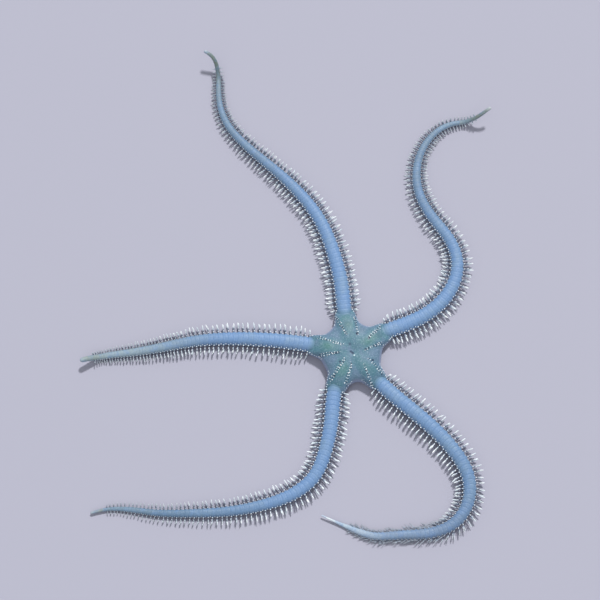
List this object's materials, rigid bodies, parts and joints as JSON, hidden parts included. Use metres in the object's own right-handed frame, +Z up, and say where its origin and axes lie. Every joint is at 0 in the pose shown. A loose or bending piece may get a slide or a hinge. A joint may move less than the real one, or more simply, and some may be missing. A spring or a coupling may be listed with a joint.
{
  "type": "brittle star",
  "caption": "Life-size still brittle star lying flat: a small lobed disc with long, slowly curving arms fringed with short spines.",
  "frame": {"origin": "on the floor, under the middle of the whole outline seen from above", "axes": "+Z up from the underside to the back; +Y along the arms' longest reach, away from the picture's viewer; +X to that viewer's right"},
  "size_m": [0.134, 0.1637, 0.0069],
  "materials": {
    "disc_skin": "damp, finely grained skin, grey-green towards the arms and blue-grey between them",
    "arm_plates": "smooth pale blue skin over low plates, softly glossy",
    "jaw_bone": "pale chalky bone with a fine pitted grain",
    "spine_glass": "glassy, dusky at the root and white at the tip"
  },
  "bodies": {
    "root": {"disc": "disc_skin", "mouth_frame": "jaw_bone", "arm_1_base": "arm_plates", "arm_1_lower": "arm_plates", "arm_1_middle": "arm_plates", "arm_1_outer": "arm_plates", "arm_1_tip": "arm_plates", "arm_2_base": "arm_plates", "arm_2_middle": "arm_plates", "arm_2_outer": "arm_plates", "arm_2_tip": "arm_plates", "arm_3_base": "arm_plates", "arm_3_lower": "arm_plates", "arm_3_middle": "arm_plates", "arm_3_outer": "arm_plates", "arm_3_tip": "arm_plates", "arm_4_base": "arm_plates", "arm_4_lower": "arm_plates", "arm_4_middle": "arm_plates", "arm_4_outer": "arm_plates", "arm_4_tip": "arm_plates", "arm_5_base": "arm_plates", "arm_5_lower": "arm_plates", "arm_5_middle": "arm_plates", "arm_5_outer": "arm_plates", "arm_5_tip": "arm_plates"}
  },
  "joints": []
}
